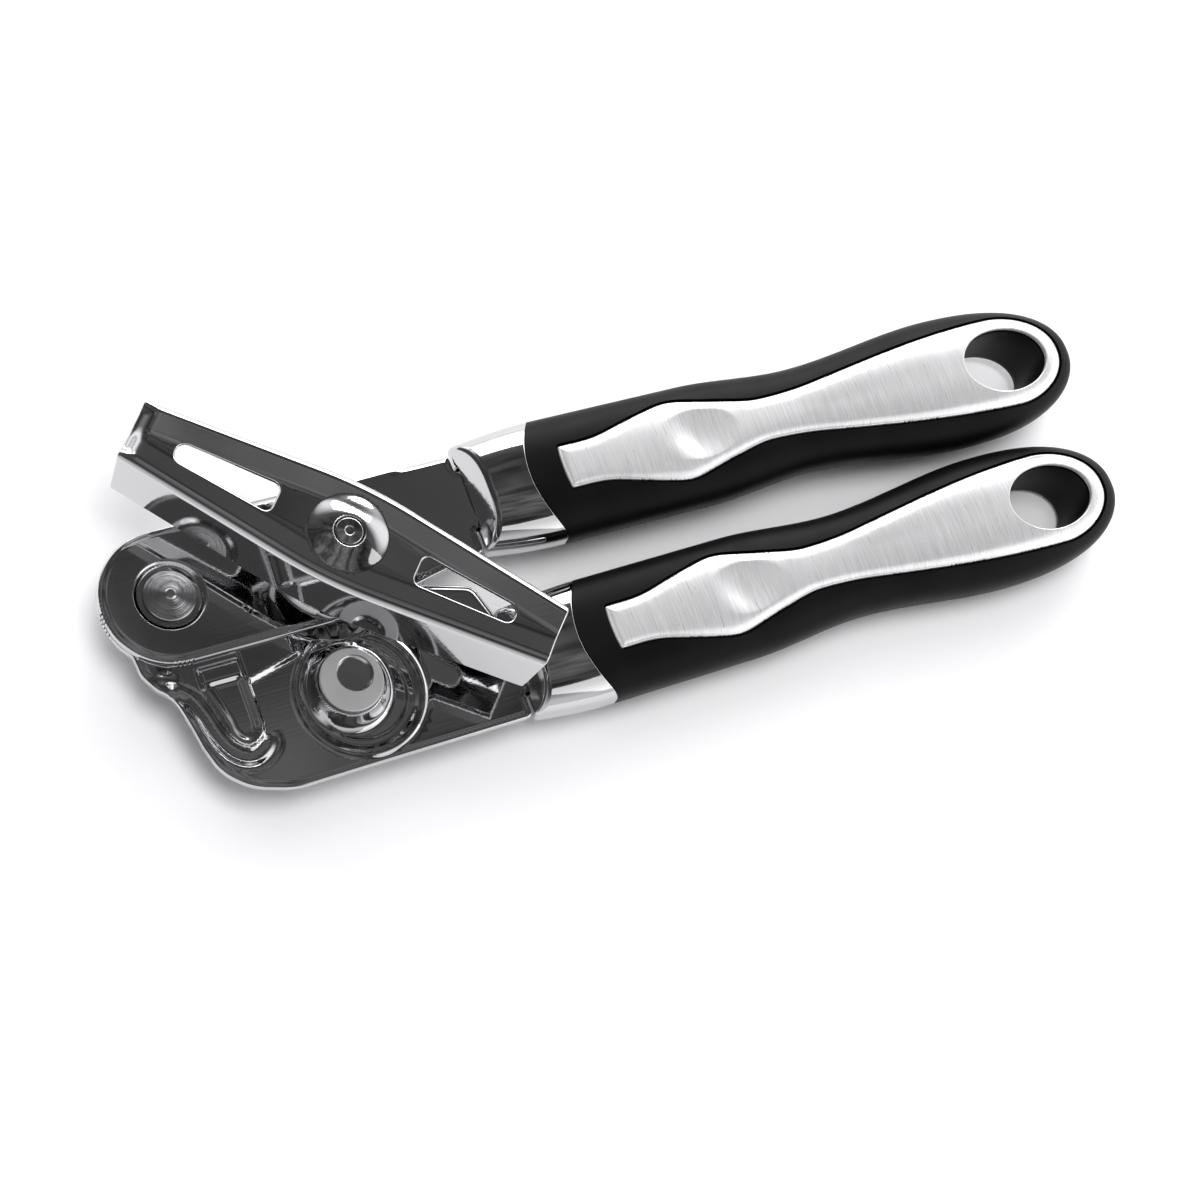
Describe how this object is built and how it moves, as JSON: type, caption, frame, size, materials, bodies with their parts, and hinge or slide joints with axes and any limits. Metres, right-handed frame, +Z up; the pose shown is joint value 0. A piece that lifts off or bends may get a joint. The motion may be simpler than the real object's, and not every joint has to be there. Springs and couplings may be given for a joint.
{
  "type": "manual can opener",
  "caption": "Hand can opener: chromed steel arms on a hinge, butterfly crank key, meshing gears with feed and cutter wheels, and soft grips with brushed inlays and hang holes.",
  "frame": {"origin": "under the middle of the box that holds the closed opener, on the surface that it lies on", "axes": "+X along the handles from the hinge end to the hang holes, +Y from the cutter arm to the drive arm, +Z up to the crank key"},
  "size_m": [0.207, 0.0718, 0.0305],
  "materials": {
    "chrome_plate": "mirror chrome plate on pressed steel",
    "brushed_inlay": "steel brushed across the handle",
    "satin_steel": "satin",
    "gear_steel": "plain machined, lightly oiled",
    "soft_grip": "satin soft-touch moulding",
    "core_plastic": "matt moulding"
  },
  "bodies": {
    "cutter_side": {"cutter_arm": "chrome_plate", "hinge_rivet": "chrome_plate", "cutter_axle": "satin_steel", "cutter_screw": "gear_steel", "lower_ferrule": "chrome_plate", "lower_handle_core": "core_plastic", "lower_grip": "soft_grip", "lower_inlay": "brushed_inlay", "lower_front_tang_pin": "gear_steel", "lower_rear_tang_pin": "gear_steel"},
    "drive_side": {"drive_arm": "chrome_plate", "shaft_bushing": "gear_steel", "upper_ferrule": "chrome_plate", "upper_handle_core": "core_plastic", "upper_grip": "soft_grip", "upper_inlay": "brushed_inlay", "upper_front_tang_pin": "gear_steel", "upper_rear_tang_pin": "gear_steel"},
    "crank": {"crank_key": "chrome_plate", "crank_hub": "chrome_plate", "drive_shaft": "chrome_plate", "drive_gear": "gear_steel", "feed_wheel": "gear_steel", "shaft_nut": "gear_steel"},
    "cutter": {"cutter_gear": "gear_steel", "cutter_wheel": "gear_steel"}
  },
  "joints": [
    {"name": "handle_hinge", "type": "hinge", "parent": "cutter_side", "child": "drive_side", "pos_m": [-0.0911, 0.0048, 0.01185], "axis": [0, 0, 1], "range_deg": [0, 70]},
    {"name": "crank_turn", "type": "hinge", "parent": "drive_side", "child": "crank", "pos_m": [-0.0626, 0.0025, 0.02165], "axis": [0, 0, 1], "continuous": true},
    {"name": "cutter_turn", "type": "hinge", "parent": "cutter_side", "child": "cutter", "pos_m": [-0.0651, -0.0181, 0.00505], "axis": [0, 0, 1], "continuous": true}
  ],
  "couplings": [
    {"joint": "cutter_turn", "follows": "crank_turn", "ratio": -1}
  ]
}
